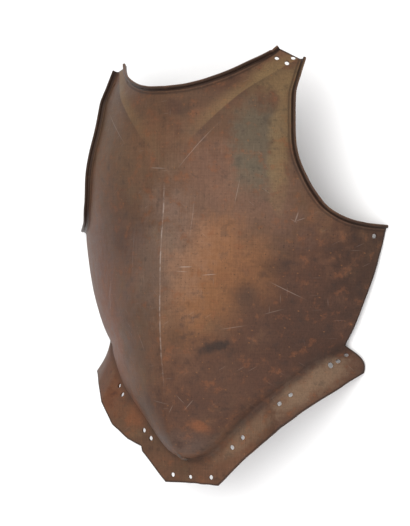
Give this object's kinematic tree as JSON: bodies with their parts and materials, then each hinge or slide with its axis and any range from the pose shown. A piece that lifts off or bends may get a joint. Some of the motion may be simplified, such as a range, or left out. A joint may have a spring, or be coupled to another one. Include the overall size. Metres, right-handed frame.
{
  "type": "breastplate",
  "caption": "Forged iron breastplate of a cuirass with a keeled belly, turned and rolled rims at the neck and the arms, and a pierced flared skirt.",
  "frame": {"origin": "on the table the plate lies on, under the middle of its outline box", "axes": "+X across the wearer's chest to the right as seen from the front, +Y towards the neck, +Z away from the wearer's chest, from the table up to the keel"},
  "size_m": [0.3676, 0.4298, 0.1264],
  "materials": {
    "patinated_iron": "forged plate with an old brown patina, semi-matt"
  },
  "bodies": {
    "root": {"breastplate": "patinated_iron"}
  },
  "joints": []
}
